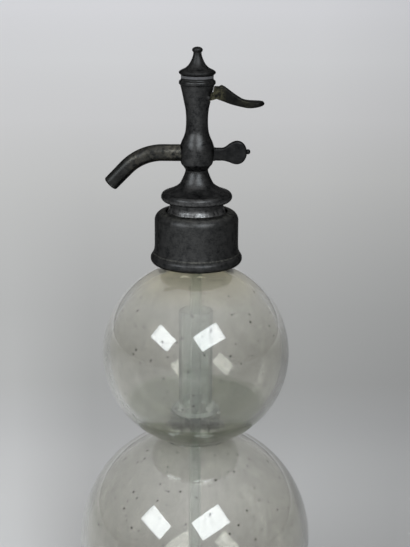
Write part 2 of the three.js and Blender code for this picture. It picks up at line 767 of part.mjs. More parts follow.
// The dip tube hangs from the head, down through the chimney, almost to the bottom of the lower globe.
const lowerInsideFloor = lowerGlobeHeight - lowerGlobeRadius + glassWall;
put(head, "dip_tube", ring(
  dipTubeRadius - dipTubeWall, dipTubeRadius, lowerInsideFloor + dipTubeClear, tubeTop, smallSides,
), materials.tubeGlass);

// The collar nut turns on the stem and draws the flange down on the ferrule. Its thread is left plain.
const nutBottom = ferruleBottom - nutSkirt;
const nutBeadRound = nutBeadHeight / 2;
const collar = new THREE.Group();
head.add(collar);
put(collar, "collar_nut", turned([
  [nutBore, nutBottom],
  ...arc(nutRadius + nutBeadWidth - nutBeadRound, nutBottom + nutBeadRound, nutBeadRound,
    -Math.PI / 2, Math.PI / 3, 5),
  [nutRadius + nutSpread, nutBottom + nutBeadHeight],
  [nutRadius, nutBottom + nutBeadHeight + nutCove],
  ...arc(nutRadius - nutShoulder, nutTop - nutShoulder, nutShoulder, 0, Math.PI / 2, 5),
  [nutHoleRadius, nutTop],
  [nutHoleRadius, nutTop - nutTopWall],
  [nutBore, nutTop - nutTopWall],
  [nutBore, nutBottom],
], metalSides), materials.pewter);

export default siphon;
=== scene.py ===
import math

import bmesh
import bpy
from mathutils import Matrix, Vector


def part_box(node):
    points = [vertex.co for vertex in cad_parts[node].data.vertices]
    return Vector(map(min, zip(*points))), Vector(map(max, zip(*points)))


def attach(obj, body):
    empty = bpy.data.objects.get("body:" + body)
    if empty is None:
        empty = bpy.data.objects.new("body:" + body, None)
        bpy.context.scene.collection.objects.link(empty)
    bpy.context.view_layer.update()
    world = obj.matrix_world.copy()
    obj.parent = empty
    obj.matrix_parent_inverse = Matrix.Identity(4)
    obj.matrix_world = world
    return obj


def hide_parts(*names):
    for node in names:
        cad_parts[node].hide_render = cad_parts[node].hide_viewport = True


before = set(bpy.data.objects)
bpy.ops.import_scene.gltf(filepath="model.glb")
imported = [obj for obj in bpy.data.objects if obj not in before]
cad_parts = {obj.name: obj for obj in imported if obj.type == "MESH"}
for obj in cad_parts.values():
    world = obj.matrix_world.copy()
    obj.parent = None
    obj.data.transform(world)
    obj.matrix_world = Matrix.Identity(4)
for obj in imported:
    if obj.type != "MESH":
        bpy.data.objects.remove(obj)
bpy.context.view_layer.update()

# The camera: a phone's long lens, a little above the head and tipped down on the two globes.
# The bottle's axis stands just left of the picture's middle and leans a little, as in the photograph.
mm = 0.001
picture_height = 547
focal_pixels = 1216
sensor_height = 36
camera_distance = 776 * mm
camera_pitch = math.radians(16.5)
camera_roll = math.radians(0.44)
aim = Vector((5.6 * mm, 0, 280 * mm))


def deselect_all():
    bpy.ops.object.select_all(action="DESELECT")


deselect_all()
bpy.ops.object.camera_add()
camera = bpy.context.object
camera.name = "camera"
camera.data.sensor_width = sensor_height
camera.data.lens = focal_pixels / picture_height * sensor_height
camera.data.clip_start = 0.01
look = Matrix.Rotation(math.pi / 2 - camera_pitch, 4, "X") @ Matrix.Rotation(camera_roll, 4, "Z")
camera.matrix_world = Matrix.Translation(aim) @ look @ Matrix.Translation((0, 0, camera_distance))
bpy.context.scene.camera = camera
bpy.context.scene.view_settings.view_transform = "Standard"


# The table: one wide matt sheet of pale grey paper, with light and shade painted into its colour: darker close
# to the bottle with its painted shadows, lighter far off and to the left, and brightest in front, a painted pool
# of window light. The painted light is in the paper, so it stays put in every view.
def linear(hex_colour):
    """The linear value of a colour written as an sRGB hex string."""
    channels = [int(hex_colour[i:i + 2], 16) / 255 for i in (1, 3, 5)]
    return [c / 12.92 if c <= 0.04045 else ((c + 0.055) / 1.055) ** 2.4 for c in channels] + [1]


def add_node(tree, kind, settings=None, **links):
    """Adds a node. Settings are its properties or sockets, by name or number. A link gives a socket an output,
    by the socket's name, or by its number, as in i6."""
    node = tree.nodes.new("ShaderNode" + kind)
    for name, value in (settings or {}).items():
        if isinstance(name, int) or name in node.inputs.keys():
            node.inputs[name].default_value = value
        else:
            setattr(node, name, value)
    for name, output in links.items():
        socket = int(name[1:]) if name[1:].isdigit() else name
        tree.links.new(output, node.inputs[socket])
    return node


def new_material(name, surface):
    """A material with values set on its shader, and with it the tree, the shader and the place on the piece."""
    material = bpy.data.materials.new(name)
    material.use_nodes = True
    tree = material.node_tree
    shader = tree.nodes["Principled BSDF"]
    for socket, value in surface.items():
        shader.inputs[socket].default_value = value
    return material, tree, shader, add_node(tree, "TexCoord").outputs["Object"]


def fill_ramp(ramp, stops):
    """Sets a colour ramp's stops, given as places and colours or grey values."""
    elements = ramp.color_ramp.elements
    while len(elements) > 1:
        elements.remove(elements[-1])
    for i, (place, colour) in enumerate(stops):
        element = elements[0] if i == 0 else elements.new(place)
        element.position = place
        element.color = linear(colour) if isinstance(colour, str) else [colour] * 3 + [1]


table_radius = 12.0
paper, tree, shader, place = new_material("matt_paper", {"Roughness": 0.9, "Specular IOR Level": 0.2})
split = add_node(tree, "SeparateXYZ", Vector=place)
back = add_node(tree, "Math", {"operation": "ABSOLUTE"}, i0=split.outputs["Y"])
depth = add_node(tree, "MapRange", {"From Min": 0.0, "From Max": 6.0}, Value=back.outputs["Value"])
# Painted light: the paper's grey rises with distance, with a painted darker band from about 0.4 to 0.8 m off.
fade = add_node(tree, "ValToRGB", Fac=depth.outputs["Result"])
fill_ramp(fade, [
    (0.0, "#c4c4c4"), (0.04, "#c8c8c8"), (0.053, "#c4c4c4"), (0.068, "#bababa"), (0.085, "#b5b5b4"),
    (0.13, "#b8b8b7"), (0.19, "#c2c2c1"), (0.265, "#cececd"), (0.385, "#dcdcdd"), (0.6, "#e7e8ea"),
    (1.0, "#f1f2f6"),
])
# Painted shadows of the bottle: close to it the paper is darker, most of all to the right; far off it is a little
# darker to the right.
reach = add_node(tree, "Math", {"operation": "ADD", 1: 0.75}, i0=back.outputs["Value"])
aside = add_node(tree, "Math", {"operation": "DIVIDE"}, i0=split.outputs["X"], i1=reach.outputs["Value"])
share = add_node(tree, "MapRange", {"From Min": -0.18, "From Max": 0.18}, Value=aside.outputs["Value"])
far_painted_shadow = add_node(tree, "ValToRGB", Fac=share.outputs["Result"])
fill_ramp(far_painted_shadow, [(0.0, 1.0), (0.3, 1.0), (0.76, 0.95), (1.0, 0.85)])
near_painted_shadow = add_node(tree, "ValToRGB", Fac=share.outputs["Result"])
fill_ramp(near_painted_shadow, [(0.0, 1.0), (0.05, 1.0), (0.24, 0.78), (0.76, 0.7), (1.0, 0.61)])
nearness = add_node(tree, "ValToRGB", Fac=depth.outputs["Result"])
fill_ramp(nearness, [(0.0, 0.9), (0.05, 0.95), (0.0875, 1.0), (0.11, 0.85), (0.136, 0.66), (0.189, 0.42),
                     (0.265, 0.2), (0.385, 0.1), (0.6, 0.0)])
painted_shadow = add_node(tree, "Mix", {"data_type": "RGBA"}, Factor=nearness.outputs["Color"],
                i6=far_painted_shadow.outputs["Color"], i7=near_painted_shadow.outputs["Color"])
multiplied = {"data_type": "RGBA", "blend_type": "MULTIPLY", "Factor": 1.0}
tint = add_node(tree, "Mix", multiplied, i6=fade.outputs["Color"], i7=painted_shadow.outputs[2])
# A painted pool of window light: the paper is up to twice as bright just in front of the bottle.
sunny_spot = (-0.1, -0.75, 0)
ahead = add_node(tree, "VectorMath", {"operation": "DISTANCE", 1: sunny_spot}, i0=place)
sunny = add_node(tree, "MapRange", {"interpolation_type": "SMOOTHSTEP", "From Min": 0.1, "From Max": 0.9,
                                    "To Min": 2.0, "To Max": 1.0}, Value=ahead.outputs["Value"])
bright = add_node(tree, "Mix", multiplied, i6=tint.outputs[2], i7=sunny.outputs["Result"])
tree.links.new(bright.outputs[2], shader.inputs["Base Color"])
bpy.ops.mesh.primitive_circle_add(vertices=96, radius=table_radius, fill_type="NGON")
table = bpy.context.object
table.name = "table"
table.data.materials.append(paper)


# The light: two windows high in front, one on each side, whose reflections cross both globes, and the soft grey
# light of the room, which is brightest in front. Beyond the table, the eye and the glass see a pale plain wall.
window_distance, window_radiance, window_rise = 3.0, 6.6, 0.2
daylight = (0.9, 0.96, 1.0)


def window(name, corners):
    """An area lamp that fills the four directions given and shines on the bottle."""
    places = [Vector(corner).normalized() * window_distance for corner in corners]
    centre = sum(places, Vector()) / 4
    along = (places[1] + places[2] - places[0] - places[3]) / 2
    up = (places[0] + places[1] - places[2] - places[3]) / 2
    bpy.ops.object.light_add(type="AREA")
    lamp = bpy.context.object
    lamp.name = name
    lamp.data.shape = "RECTANGLE"
    lamp.data.size = along.length
    lamp.data.size_y = up.length
    lamp.data.energy = window_radiance * math.pi * along.length * up.length
    lamp.data.color = daylight
    facing = centre.normalized()
    across = (along - along.project(facing)).normalized()
    turn = Matrix((across, facing.cross(across), facing)).transposed().to_4x4()
    lamp.matrix_world = Matrix.Translation(centre + Vector((0, 0, window_rise))) @ turn


window("window_left", [
    (-0.64, -0.36, 0.675), (-0.38, -0.757, 0.53), (-0.563, -0.77, 0.295), (-0.797, -0.40, 0.445),
])
window("window_right", [
    (0.376, -0.48, 0.79), (0.573, -0.623, 0.53), (0.15, -0.92, 0.358), (-0.053, -0.79, 0.613),
])

world = bpy.data.worlds.new("room")
bpy.context.scene.world = world
world.use_nodes = True
tree = world.node_tree
room = tree.nodes["Background"]
sky = add_node(tree, "TexCoord")
split = add_node(tree, "SeparateXYZ", Vector=sky.outputs["Generated"])
rise = add_node(tree, "MapRange", {"From Min": -1.0, "From Max": 1.0}, Value=split.outputs["Z"])
tone = add_node(tree, "ValToRGB", Fac=rise.outputs["Result"])
fill_ramp(tone, [(0.0, "#9c9c9c"), (0.5, "#8a8a8a"), (0.7, "#a8a8a8"), (1.0, "#c4c4c4")])
aside = add_node(tree, "MapRange", {"From Min": -1.0, "From Max": 1.0}, Value=split.outputs["X"])
walls = add_node(tree, "ValToRGB", Fac=aside.outputs["Result"])
fill_ramp(walls, [(0.0, 0.5), (0.15, 0.8), (0.32, 1.1), (0.5, 1.35), (0.68, 1.05), (0.85, 0.6), (1.0, 0.2)])
lit = add_node(tree, "Mix", multiplied, i6=tone.outputs["Color"], i7=walls.outputs["Color"])
away = add_node(tree, "MapRange", {"From Min": -1.0, "From Max": 1.0}, Value=split.outputs["Y"])
ends = add_node(tree, "ValToRGB", Fac=away.outputs["Result"])
fill_ramp(ends, [(0.0, 1.4), (0.5, 1.0), (1.0, 0.5)])
front = add_node(tree, "Mix", multiplied, i6=lit.outputs[2], i7=ends.outputs["Color"])
ray = add_node(tree, "LightPath")
through = add_node(tree, "Math", {"operation": "MAXIMUM"}, i0=ray.outputs["Is Camera Ray"],
                   i1=ray.outputs["Is Transmission Ray"])
pale_wall = linear("#a8a9ab")
seen = add_node(tree, "Mix", {"data_type": "RGBA", 7: pale_wall}, Factor=through.outputs["Value"],
                i6=front.outputs[2])
tree.links.new(seen.outputs[2], room.inputs["Color"])
room.inputs["Strength"].default_value = 1.65


# The foot: a cast pewter pedestal, turned on a lathe to a round bead, a hollow waist and a thin-lipped cup,
# and gone dark with age. The glass is bedded in its cup.
def arc(across, up, radius, start, end, steps):
    """Points along a circle in the plane of an outline, from one angle in degrees to another."""
    angles = [math.radians(start + (end - start) * i / steps) for i in range(steps + 1)]
    return [(across + radius * math.cos(angle), up + radius * math.sin(angle)) for angle in angles]


def flowing(points, steps):
    """A smooth curve through an outline's chosen points."""
    ends = [points[0]] + list(points) + [points[-1]]
    curve = []
    for i in range(1, len(ends) - 2):
        for step in range(steps):
            t = step / steps
            weights = (-t + 2 * t * t - t ** 3, 2 - 5 * t * t + 3 * t ** 3, t + 4 * t * t - 3 * t ** 3,
                       t ** 3 - t * t)
            near = ends[i - 1:i + 3]
            curve.append(tuple(sum(w * point[axis] for w, point in zip(weights, near)) / 2 for axis in (0, 1)))
    return curve + [points[-1]]


def edit_all():
    """Goes into edit mode with all of the piece selected."""
    bpy.ops.object.mode_set(mode="EDIT")
    bpy.ops.mesh.select_all(action="SELECT")


def drawn_line(name, places):
    """Draws a chain of edges through places in millimetres and leaves it open in edit mode."""
    deselect_all()
    bpy.ops.mesh.primitive_plane_add(size=mm)
    piece = bpy.context.object
    piece.name = name
    edit_all()
    bpy.ops.mesh.merge(type="CENTER")
    bpy.ops.transform.translate(value=[value * mm for value in places[0]])
    for before, after in zip(places, places[1:]):
        step = [(b - a) * mm for a, b in zip(before, after)]
        bpy.ops.mesh.extrude_region_move(TRANSFORM_OT_translate={"value": step})
    return piece


def close_shape(seam=0.0):
    """Merges the points of seams narrower than a width in millimetres, and turns the faces outwards."""
    bpy.ops.mesh.select_all(action="SELECT")
    if seam:
        bpy.ops.mesh.remove_doubles(threshold=seam * mm)
    bpy.ops.mesh.normals_make_consistent(inside=False)
    bpy.ops.object.mode_set(mode="OBJECT")


def smooth(degrees):
    bpy.ops.object.shade_smooth_by_angle(angle=math.radians(degrees))


def turned(name, outline, sides=128):
    """Spins an outline round the upright axis. It runs out along the bottom and back along the top."""
    piece = drawn_line(name, [(across, 0, up) for across, up in outline])
    bpy.ops.mesh.select_all(action="SELECT")
    bpy.ops.mesh.spin(steps=sides, angle=2 * math.pi, center=(0, 0, 0), axis=(0, 0, 1))
    close_shape(0.002)
    smooth(32)
    return piece


def dress(piece, node, body, material):
    """Gives a piece its material, hangs it on the body it rides on and hides the part it stands for."""
    piece.data.materials.clear()
    piece.data.materials.append(material)
    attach(piece, body)
    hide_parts(node)


# Pewter, cast, turned and long handled: a satin metal that has gone almost black. The turning tool left
# fine level lines and age left small pits and grey specks. A paler colour laid on in bands is wear on some parts
# and a painted highlight on others.
def pewter_material(name, dark, pale, roughness, lines=0.35):
    material, tree, shader, place = new_material(name, {"Metallic": 0.9, "Specular Tint": linear("#949494")})
    clouds = add_node(tree, "TexNoise", {"Scale": 1 / (3.5 * mm), "Detail": 6.0, "Roughness": 0.65}, Vector=place)
    specks = add_node(tree, "TexNoise", {"Scale": 1 / (0.9 * mm), "Detail": 4.0, "Roughness": 0.7}, Vector=place)
    spread = add_node(tree, "Mapping", {"Scale": (1 / (5 * mm), 1 / (5 * mm), 1 / (0.55 * mm))}, Vector=place)
    tooling = add_node(tree, "TexNoise", {"Scale": 1.0, "Detail": 4.0, "Roughness": 0.65},
                       Vector=spread.outputs["Vector"])
    level = add_node(tree, "Math", {"operation": "MULTIPLY_ADD", 1: lines}, i0=tooling.outputs["Fac"],
                     i2=clouds.outputs["Fac"])
    mixed = add_node(tree, "Math", {"operation": "MULTIPLY_ADD", 1: 0.45}, i0=specks.outputs["Fac"],
                     i2=level.outputs["Value"])
    tone = add_node(tree, "ValToRGB", Fac=mixed.outputs["Value"])
    middle = 0.5 + lines / 2 + 0.225
    fill_ramp(tone, [(middle - 0.22, dark), (middle + 0.26, pale)])
    tree.links.new(tone.outputs["Color"], shader.inputs["Base Color"])
    rough = add_node(tree, "MapRange", {"From Min": middle - 0.2, "From Max": middle + 0.2,
                                        "To Min": roughness - 0.07, "To Max": roughness + 0.1},
                     Value=mixed.outputs["Value"])
    tree.links.new(rough.outputs["Result"], shader.inputs["Roughness"])
    height = add_node(tree, "Math", {"operation": "ADD"}, i0=tooling.outputs["Fac"], i1=specks.outputs["Fac"])
    bump = add_node(tree, "Bump", {"Strength": 0.3, "Distance": 0.05 * mm}, Height=height.outputs["Value"])
    tree.links.new(bump.outputs["Normal"], shader.inputs["Normal"])
    return material


def wear_and_highlight(material, colour, axis, stops):
    """Lays a paler colour over a material in patches: real wear on some parts, a painted highlight on others. The
    stops say at what millimetre there is how much.
    """
    tree = material.node_tree
    shader = tree.nodes["Principled BSDF"]
    place = add_node(tree, "TexCoord").outputs["Object"]
    split = add_node(tree, "SeparateXYZ", Vector=place)
    start, end = stops[0][0], stops[-1][0]
    along = add_node(tree, "MapRange", {"From Min": start * mm, "From Max": end * mm}, Value=split.outputs[axis])
    amount = add_node(tree, "ValToRGB", Fac=along.outputs["Result"])
    fill_ramp(amount, [((at - start) / (end - start), share) for at, share in stops])
    patch_noise = add_node(tree, "TexNoise", {"Scale": 1 / (2.2 * mm), "Detail": 6.0, "Roughness": 0.7}, Vector=place)
    patches = add_node(tree, "MapRange", {"From Min": 0.4, "From Max": 0.6}, Value=patch_noise.outputs["Fac"])
    wear_and_highlight_share = add_node(tree, "Math", {"operation": "MULTIPLY"}, i0=amount.outputs["Color"],
                    i1=patches.outputs["Result"])
    under = shader.inputs["Base Color"].links[0].from_socket
    over = add_node(tree, "Mix", {"data_type": "RGBA", 7: linear(colour)}, Factor=wear_and_highlight_share.outputs["Value"], i6=under)
    tree.links.new(over.outputs[2], shader.inputs["Base Color"])


dark_pewter = pewter_material("patinated_pewter", "#1f2021", "#404040", 0.33)
foot_pewter = pewter_material("foot_pewter", "#242526", "#404040", 0.38)

globe_low, globe_high = 94.3, 226.57
radius_low, radius_high = 77.4, 60.5
foot_radius, foot_height, foot_bead = 58.0, 30.7, 3.5
cup_radius = radius_low + 2.2
cup_edge = -math.degrees(math.asin((globe_low - foot_height) / cup_radius))
cup_lip = cup_radius * math.cos(math.radians(cup_edge))
hollow_radius, hollow_height, ring_radius = 28, 8.7, 46
foot = turned("foot_pedestal", [
    (0, hollow_height), (hollow_radius, hollow_height), (ring_radius, foot_bead), (ring_radius, 0),
    *arc(foot_radius - foot_bead, foot_bead, foot_bead, -90, 90, 14),
    *flowing([(45.8, 8.3), (40.6, 10.7), (38, 14), (40, 18.4), (44, 24.6), (cup_lip + 3, foot_height)], 6),
    *arc(0, globe_low, cup_radius, cup_edge, -90, 30),
])
dress(foot, "foot", "bottle", foot_pewter)


# The bed: set plaster between the cup and the glass, cast in place, so it follows both. It is matt and chalky,
# and shows only as a thin pale line at the cup's lip and a white floor under the glass.
def grained_material(name, grain, detail, breakup, stops, surface, dents=None):
    """A material whose colour drifts with a grain in millimetres. Dents are a bump's strength and its depth."""
    material, tree, shader, place = new_material(name, surface)
    noise = add_node(tree, "TexNoise", {"Scale": 1 / (grain * mm), "Detail": detail, "Roughness": breakup},
                     Vector=place)
    tone = add_node(tree, "ValToRGB", Fac=noise.outputs["Fac"])
    fill_ramp(tone, stops)
    tree.links.new(tone.outputs["Color"], shader.inputs["Base Color"])
    if dents:
        bump = add_node(tree, "Bump", {"Strength": dents[0], "Distance": dents[1] * mm},
                        Height=noise.outputs["Fac"])
        tree.links.new(bump.outputs["Normal"], shader.inputs["Normal"])
    return material


plaster = grained_material("set_plaster", 1.5, 8.0, 0.7, [(0.3, "#a39a86"), (0.6, "#c6beac")], {"Roughness": 0.9},
                           dents=(0.5, 0.2))
bed_outside = cup_radius - 0.3
bed_edge = -math.degrees(math.asin((globe_low - foot_height + 1.5) / bed_outside))
bed = turned("plaster_bedding", [
    *arc(0, globe_low, bed_outside, -90, bed_edge, 28),
    *arc(0, globe_low, radius_low + 0.3, bed_edge, -90, 28),
])
dress(bed, "plaster_bed", "bottle", plaster)


# The bottle: two globes, a waist, a neck and a lip, blown in one piece of thick soda glass, so it is smooth and
# a little grey, with dark seeds in it. Hard water has left a film, darker up to the old water line, and dust lies
# on its shoulders.
glass_wall = 4.5
waist_fillet, waist_bore = 1.0, 17.0
neck_radius, neck_bore, neck_fillet = 20.2, 17.0, 8.0
lip_top, lip_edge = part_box("glass_bottle")[1].z / mm, 1.2
spacing = globe_high - globe_low


def blend_centre(globe, neck, fillet):
    """Where a round blend between a globe and a neck has its centre, out from the axis and above the globe."""
    across = neck + fillet
    return across, math.sqrt((globe + fillet) ** 2 - across ** 2)


low_reach, high_reach = radius_low + waist_fillet, radius_high + waist_fillet
waist_rise = (low_reach ** 2 - high_reach ** 2 + spacing ** 2) / (2 * spacing)
waist_across = math.sqrt(low_reach ** 2 - waist_rise ** 2)
waist_up = globe_low + waist_rise
from_low = math.degrees(math.atan2(waist_rise, waist_across))
from_high = math.degrees(math.atan2(waist_up - globe_high, waist_across))
blend_across, blend_up = blend_centre(radius_high, neck_radius, neck_fillet)
to_neck = math.degrees(math.atan2(blend_up, blend_across))
inner_low, inner_high = radius_low - glass_wall, radius_high - glass_wall
inner_fillet = neck_fillet + neck_radius - neck_bore
inner_across, inner_up = blend_centre(inner_high, neck_bore, inner_fillet)
inner_turn = math.degrees(math.atan2(inner_up, inner_across))
bottle = turned("bottle_glass", [
    *arc(0, globe_low, radius_low, -90, from_low, 70),
    *arc(waist_across, waist_up, waist_fillet, from_low - 180, from_high - 180, 10)[1:],
    *arc(0, globe_high, radius_high, from_high, to_neck, 52)[1:],
    *arc(blend_across, globe_high + blend_up, neck_fillet, 180 + to_neck, 180, 16)[1:],
    *arc(neck_radius - lip_edge, lip_top - lip_edge, lip_edge, 0, 90, 6),
    *arc(neck_bore + lip_edge, lip_top - lip_edge, lip_edge, 90, 180, 6),
    *arc(inner_across, globe_high + inner_up, inner_fillet, 180, 180 + inner_turn, 16),
    *arc(0, globe_high, inner_high, inner_turn, -math.degrees(math.acos(waist_bore / inner_high)), 52)[1:],
    *arc(0, globe_low, inner_low, math.degrees(math.acos(waist_bore / inner_low)), -90, 70),
], sides=160)

blown_glass, tree, shader, place = new_material("blown_soda_glass", {
    "Roughness": 0.0, "IOR": 1.5, "Coat Weight": 0.5, "Coat Roughness": 0.02, "Coat IOR": 1.5,
})
clouds = add_node(tree, "TexNoise", {"Scale": 1 / (16 * mm), "Detail": 6.0, "Roughness": 0.6}, Vector=place)
runs = add_node(tree, "Mapping", {"Scale": (1 / (5 * mm), 1 / (5 * mm), 1 / (40 * mm))}, Vector=place)
streaks = add_node(tree, "TexNoise", {"Scale": 1.0, "Detail": 4.0}, Vector=runs.outputs["Vector"])
film = add_node(tree, "Math", {"operation": "MULTIPLY_ADD", 1: 0.5}, i0=streaks.outputs["Fac"],
                i2=clouds.outputs["Fac"])
tone = add_node(tree, "ValToRGB", Fac=film.outputs["Value"])
fill_ramp(tone, [(0.55, "#dedcd6"), (0.95, "#efede7")])
specks = add_node(tree, "TexVoronoi", {"Scale": 1 / (9 * mm)}, Vector=place)
seeds = add_node(tree, "ValToRGB", Fac=specks.outputs["Distance"])
fill_ramp(seeds, [(0.0, "#4a4a46"), (0.07, "#6e6e68"), (0.12, "#ffffff")])
split = add_node(tree, "SeparateXYZ", Vector=place)
wave = add_node(tree, "Math", {"operation": "MULTIPLY_ADD", 1: 2 * mm}, i0=clouds.outputs["Fac"],
                i2=split.outputs["Z"])
stain_low, stain_high = 168, 300
rise = add_node(tree, "MapRange", {"From Min": stain_low * mm, "From Max": stain_high * mm},
                Value=wave.outputs["Value"])
tide = add_node(tree, "ValToRGB", Fac=rise.outputs["Result"])
fill_ramp(tide, [(0.0, "#ffffff"), (0.015, "#ffffff"), (0.03, "#b7beae"), (0.182, "#c3cabb"), (0.192, "#ffffff"),
                 (0.76, "#ffffff"), (0.85, "#f2eee0"), (0.92, "#e4dfca")])
seeded = add_node(tree, "Mix", multiplied, i6=tone.outputs["Color"], i7=seeds.outputs["Color"])
stained = add_node(tree, "Mix", multiplied, i6=seeded.outputs[2], i7=tide.outputs["Color"])
tree.links.new(stained.outputs[2], shader.inputs["Base Color"])
clear = add_node(tree, "MapRange", {"From Min": 0.55, "From Max": 0.95, "To Min": 0.94, "To Max": 0.99},
                 Value=film.outputs["Value"])
facing = add_node(tree, "SeparateXYZ", Vector=add_node(tree, "NewGeometry").outputs["Normal"])
dust = add_node(tree, "MapRange", {"From Min": 0.3, "From Max": 0.95, "To Min": 0.0, "To Max": 0.11},
                Value=facing.outputs["Z"])
dusty = add_node(tree, "Math", {"operation": "SUBTRACT"}, i0=clear.outputs["Result"],
                 i1=dust.outputs["Result"])
tree.links.new(dusty.outputs["Value"], shader.inputs["Transmission Weight"])
body = add_node(tree, "VolumeAbsorption", {"Color": linear("#e2ebe6"), "Density": 22.0})
tree.links.new(body.outputs["Volume"], tree.nodes["Material Output"].inputs["Volume"])
dress(bottle, "glass_bottle", "bottle", blown_glass)


# The ferrule: a pewter sleeve, turned and cemented round the neck, which carries the thread for the collar nut.
# The nut hides it, so it has the plain dark pewter.
ferrule_bore, ferrule_radius = neck_radius + 1.7, neck_radius + 3.8
ferrule_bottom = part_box("neck_ferrule")[0].z / mm
ferrule = turned("neck_ferrule_sleeve", [
    (ferrule_bore, ferrule_bottom + 0.3), (ferrule_bore + 0.3, ferrule_bottom),
    (ferrule_radius - 0.5, ferrule_bottom), (ferrule_radius, ferrule_bottom + 0.5),
    (ferrule_radius, lip_top - 0.5), (ferrule_radius - 0.5, lip_top), (ferrule_bore + 0.3, lip_top),
    (ferrule_bore, lip_top - 0.3), (ferrule_bore, ferrule_bottom + 0.3),
])
dress(ferrule, "neck_ferrule", "bottle", dark_pewter)


# The cement: an old mix of brown shellac and plaster, poured between the ferrule and the glass and set matt
# and cloudy. Its brown shows faintly through the neck.
cement_low, cement_high = (corner.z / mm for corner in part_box("neck_cement"))
cement = turned("neck_cement_ring", [
    (neck_radius + 0.3, cement_low), (ferrule_bore - 0.3, cement_low), (ferrule_bore - 0.3, cement_high),
    (neck_radius + 0.3, cement_high), (neck_radius + 0.3, cement_low),
])
brown_cement = grained_material("brown_cement", 2, 6.0, 0.5, [(0.35, "#4d4433"), (0.65, "#7d7158")],
                                {"Roughness": 0.8})
dress(cement, "neck_cement", "bottle", brown_cement)


# The collar washer: a ring of rubber, pressed flat between the glass lip and the head. Age has made the rubber
# grey and chalky.
aged_rubber = grained_material("aged_rubber", 1.2, 6.0, 0.65, [(0.3, "#3c3c3f"), (0.7, "#5a5a5c")],
                               {"Roughness": 0.75}, dents=(0.4, 0.1))


def ring_outline(inner, outer, low, high, edge):
    """The outline of a plain ring whose four edges are rounded off."""
    return [
        *arc(inner + edge, low + edge, edge, 180, 270, 3), *arc(outer - edge, low + edge, edge, -90, 0, 3),
        *arc(outer - edge, high - edge, edge, 0, 90, 3), *arc(inner + edge, high - edge, edge, 90, 180, 3),
        (inner, low + edge),
    ]


def ring_for(name, node, inner, edge, body, material, sides=96):
    """A plain ring that stands for a part of the same outside radius and height."""
    low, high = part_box(node)
    piece = turned(name, ring_outline(inner, high.x / mm, low.z / mm, high.z / mm, edge), sides)
    dress(piece, node, body, material)


ring_for("collar_sealing_washer", "collar_washer", neck_bore + 0.3, 0.4, "bottle", aged_rubber)


# The chimney: a wide drawn glass tube, flared out at its foot and fire-polished at its rim, that stands in the
# upper globe and keeps the powders out of the water's way. Drawing has left faint streaks along it.
chimney_radius, chimney_bore = 11.0, 9.0
chimney_low, chimney_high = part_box("chimney_tube")
chimney_bottom, chimney_top, flare = chimney_low.z / mm, chimney_high.z / mm, chimney_high.x / mm
chimney = turned("chimney_glass", [
    (chimney_bore, chimney_bottom), *arc(flare - 1, chimney_bottom + 1, 1, -90, 60, 6),
    *flowing([(flare - 2.2, chimney_bottom + 2.9), ((flare + chimney_radius) / 2, chimney_bottom + 4),
              (chimney_radius + 0.6, chimney_bottom + 6), (chimney_radius, chimney_bottom + 8)], 5),
    *arc(chimney_radius - 1, chimney_top - 1, 1, 0, 180, 10), (chimney_bore, chimney_bottom),
], sides=96)
tube_glass, tree, shader, place = new_material("drawn_tube_glass", {
    "Transmission Weight": 0.85, "Roughness": 0.05, "IOR": 1.38,
})
runs = add_node(tree, "Mapping", {"Scale": (1 / (3 * mm), 1 / (3 * mm), 1 / (30 * mm))}, Vector=place)
drawn = add_node(tree, "TexNoise", {"Scale": 1.0, "Detail": 4.0}, Vector=runs.outputs["Vector"])
tone = add_node(tree, "ValToRGB", Fac=drawn.outputs["Fac"])
fill_ramp(tone, [(0.35, "#e8f2ee"), (0.65, "#f9fcfb")])
tree.links.new(tone.outputs["Color"], shader.inputs["Base Color"])
body = add_node(tree, "VolumeAbsorption", {"Color": linear("#c8d8d0"), "Density": 15.0})
tree.links.new(body.outputs["Volume"], tree.nodes["Material Output"].inputs["Volume"])
dress(chimney, "chimney_tube", "bottle", tube_glass)


# The bung: a ring of clear glass, ground to fit the waist, that the chimney stands on. Its ground side is
# frosted and its ends are polished, so it hardly shows.
bung_low, bung_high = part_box("chimney_bung")
bung_bottom, bung_top, bung_radius = bung_low.z / mm, bung_high.z / mm, bung_high.x / mm
bung = turned("chimney_bung_ring", [
    (chimney_bore, bung_bottom), *arc(bung_radius - 1.3, bung_bottom + 0.5, 0.5, -90, 0, 4),
    (bung_radius, bung_bottom + 7), *arc(bung_radius - 0.8, bung_top - 0.8, 0.8, 0, 90, 5),
    (chimney_bore, bung_top), (chimney_bore, bung_bottom),
])
ground_glass = grained_material("ground_glass", 1.5, 5.0, 0.5, [(0.35, "#eef2ee"), (0.65, "#f8faf8")],
                                {"Transmission Weight": 0.98, "Roughness": 0.1, "IOR": 1.1})
dress(bung, "chimney_bung", "bottle", ground_glass)
